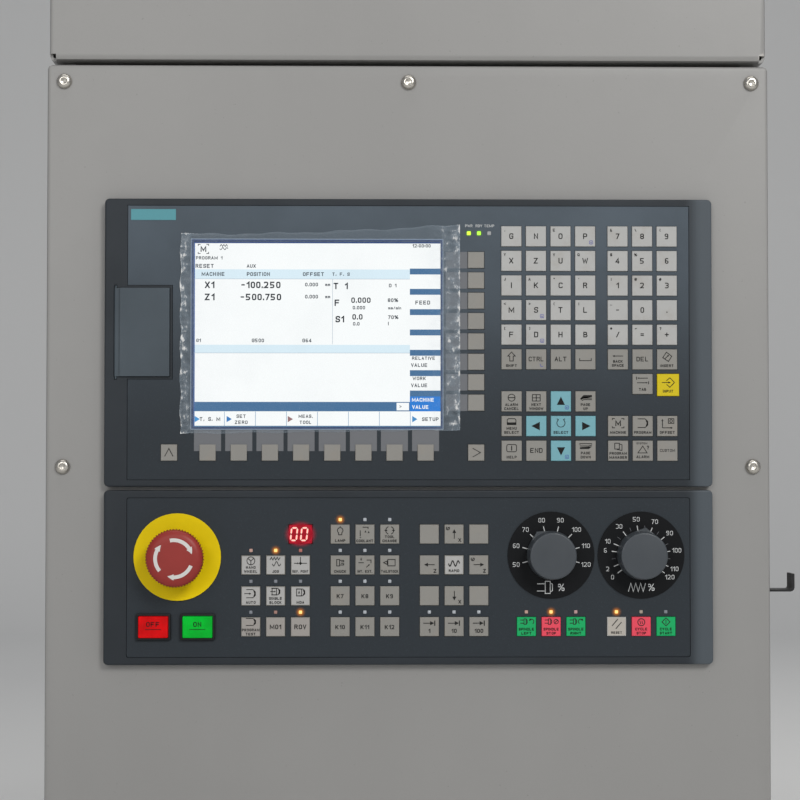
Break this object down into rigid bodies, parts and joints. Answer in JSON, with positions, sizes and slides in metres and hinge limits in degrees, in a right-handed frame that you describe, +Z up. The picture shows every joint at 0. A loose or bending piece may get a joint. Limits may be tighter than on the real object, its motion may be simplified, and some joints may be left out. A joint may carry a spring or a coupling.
{
  "type": "CNC lathe operator control station",
  "caption": "Wall-box control station of a CNC turning lathe: display and keyboard unit above a machine panel with stop button, dials and keys.",
  "frame": {"origin": "middle of the box's underside, at mid depth", "axes": "+Z up, -Y towards the operator, +X to the operator's right"},
  "size_m": [0.5229, 0.1973, 0.658],
  "materials": {
    "grey_paint": "satin light grey enamel",
    "black_steel": "satin black coating",
    "stainless": "bright",
    "slate_frame": "fine texture",
    "slate_plate": "fine texture",
    "key_light": "matt",
    "key_grey": "matt",
    "key_cyan": "matt",
    "key_yellow": "matt",
    "key_green": "matt",
    "key_red": "matt",
    "screen_glass": "lit display",
    "clear_film": "clear film",
    "board_green": "printed circuit board",
    "zinc_sheet": "zinc-plated sheet",
    "port_black": "matt black",
    "stop_yellow": "satin yellow",
    "stop_red": "satin red",
    "dial_black": "printed black",
    "knob_grey": "fine texture",
    "lens_red": "translucent lens",
    "lens_green": "translucent lens",
    "segment_red": "lit digits"
  },
  "bodies": {
    "station": {"cover_screw_1": "stainless", "cover_screw_2": "stainless", "cover_screw_3": "stainless", "cover_screw_4": "stainless", "cover_screw_5": "stainless", "cover_screw_6": "stainless", "cover_screw_7": "stainless", "cover_screw_8": "stainless", "display_board": "board_green", "display_faceplate": "slate_plate", "display_frame": "slate_frame", "display_rear_cover": "zinc_sheet", "estop_body": "port_black", "estop_ring": "stop_yellow", "feed_scale": "dial_black", "feed_switch": "port_black", "front_cover": "grey_paint", "green_button_body": "port_black", "handwheel_hook": "black_steel", "housing_shell": "grey_paint", "keymat_axes": "key_grey", "keymat_edit": "key_grey", "keymat_functions": "key_grey", "keymat_letters": "key_light", "keymat_modes": "key_grey", "keymat_soft": "key_grey", "machine_board": "board_green", "machine_faceplate": "slate_plate", "machine_frame": "slate_frame", "machine_rear_cover": "zinc_sheet", "red_button_body": "port_black", "screen_film": "clear_film", "screen_panel": "screen_glass", "spindle_scale": "dial_black", "spindle_switch": "port_black", "tool_display": "segment_red", "top_hood": "grey_paint", "usb_ports": "port_black"},
    "usb_flap": {"usb_flap": "slate_frame"},
    "estop_plunger": {"estop_plunger": "port_black"},
    "estop_head": {"estop_head": "stop_red"},
    "spindle_knob": {"spindle_knob": "knob_grey", "spindle_shaft": "stainless"},
    "feed_knob": {"feed_knob": "knob_grey", "feed_shaft": "stainless"},
    "red_button_cap": {"red_button_cap": "lens_red"},
    "green_button_cap": {"green_button_cap": "lens_green"},
    "key_up": {"key_up": "key_cyan"},
    "key_left": {"key_left": "key_cyan"},
    "key_select": {"key_select": "key_cyan"},
    "key_right": {"key_right": "key_cyan"},
    "key_down": {"key_down": "key_cyan"},
    "key_input": {"key_input": "key_yellow"},
    "spindle_left_key": {"spindle_left_key": "key_green"},
    "spindle_stop_key": {"spindle_stop_key": "key_red"},
    "spindle_right_key": {"spindle_right_key": "key_green"},
    "feed_reset_key": {"feed_reset_key": "key_light"},
    "feed_stop_key": {"feed_stop_key": "key_red"},
    "feed_start_key": {"feed_start_key": "key_green"}
  },
  "joints": [
    {"name": "usb_flap_hinge", "type": "hinge", "parent": "station", "child": "usb_flap", "pos_m": [-0.20217, -0.0875, 0.37245], "axis": [0, 0, -1], "range_deg": [0, 95]},
    {"name": "key_up_press", "type": "slide", "parent": "station", "child": "key_up", "axis": [0, 1, 0], "range_m": [0, 0.001], "stiffness_N_per_m": 1000},
    {"name": "key_left_press", "type": "slide", "parent": "station", "child": "key_left", "axis": [0, 1, 0], "range_m": [0, 0.001], "stiffness_N_per_m": 1000},
    {"name": "key_select_press", "type": "slide", "parent": "station", "child": "key_select", "axis": [0, 1, 0], "range_m": [0, 0.001], "stiffness_N_per_m": 1000},
    {"name": "key_right_press", "type": "slide", "parent": "station", "child": "key_right", "axis": [0, 1, 0], "range_m": [0, 0.001], "stiffness_N_per_m": 1000},
    {"name": "key_down_press", "type": "slide", "parent": "station", "child": "key_down", "axis": [0, 1, 0], "range_m": [0, 0.001], "stiffness_N_per_m": 1000},
    {"name": "key_input_press", "type": "slide", "parent": "station", "child": "key_input", "axis": [0, 1, 0], "range_m": [0, 0.001], "stiffness_N_per_m": 1000},
    {"name": "spindle_left_key_press", "type": "slide", "parent": "station", "child": "spindle_left_key", "axis": [0, 1, 0], "range_m": [0, 0.001], "stiffness_N_per_m": 1000},
    {"name": "spindle_stop_key_press", "type": "slide", "parent": "station", "child": "spindle_stop_key", "axis": [0, 1, 0], "range_m": [0, 0.001], "stiffness_N_per_m": 1000},
    {"name": "spindle_right_key_press", "type": "slide", "parent": "station", "child": "spindle_right_key", "axis": [0, 1, 0], "range_m": [0, 0.001], "stiffness_N_per_m": 1000},
    {"name": "feed_reset_key_press", "type": "slide", "parent": "station", "child": "feed_reset_key", "axis": [0, 1, 0], "range_m": [0, 0.001], "stiffness_N_per_m": 1000},
    {"name": "feed_stop_key_press", "type": "slide", "parent": "station", "child": "feed_stop_key", "axis": [0, 1, 0], "range_m": [0, 0.001], "stiffness_N_per_m": 1000},
    {"name": "feed_start_key_press", "type": "slide", "parent": "station", "child": "feed_start_key", "axis": [0, 1, 0], "range_m": [0, 0.001], "stiffness_N_per_m": 1000},
    {"name": "estop_push", "type": "slide", "parent": "station", "child": "estop_plunger", "axis": [0, 1, 0], "range_m": [0, 0.005]},
    {"name": "estop_twist", "type": "hinge", "parent": "estop_plunger", "child": "estop_head", "pos_m": [-0.15927, -0.088, 0.21765], "axis": [0, 1, 0], "range_deg": [0, 45], "stiffness_Nm_per_rad": 0.05},
    {"name": "spindle_override", "type": "hinge", "parent": "station", "child": "spindle_knob", "pos_m": [0.09798, -0.088, 0.21875], "axis": [0, 1, 0], "range_deg": [-73, 137]},
    {"name": "feed_override", "type": "hinge", "parent": "station", "child": "feed_knob", "pos_m": [0.16018, -0.088, 0.21875], "axis": [0, 1, 0], "range_deg": [-135, 120]},
    {"name": "red_button_press", "type": "slide", "parent": "station", "child": "red_button_cap", "axis": [0, 1, 0], "range_m": [0, 0.0025], "stiffness_N_per_m": 600},
    {"name": "green_button_press", "type": "slide", "parent": "station", "child": "green_button_cap", "axis": [0, 1, 0], "range_m": [0, 0.0025], "stiffness_N_per_m": 600}
  ]
}
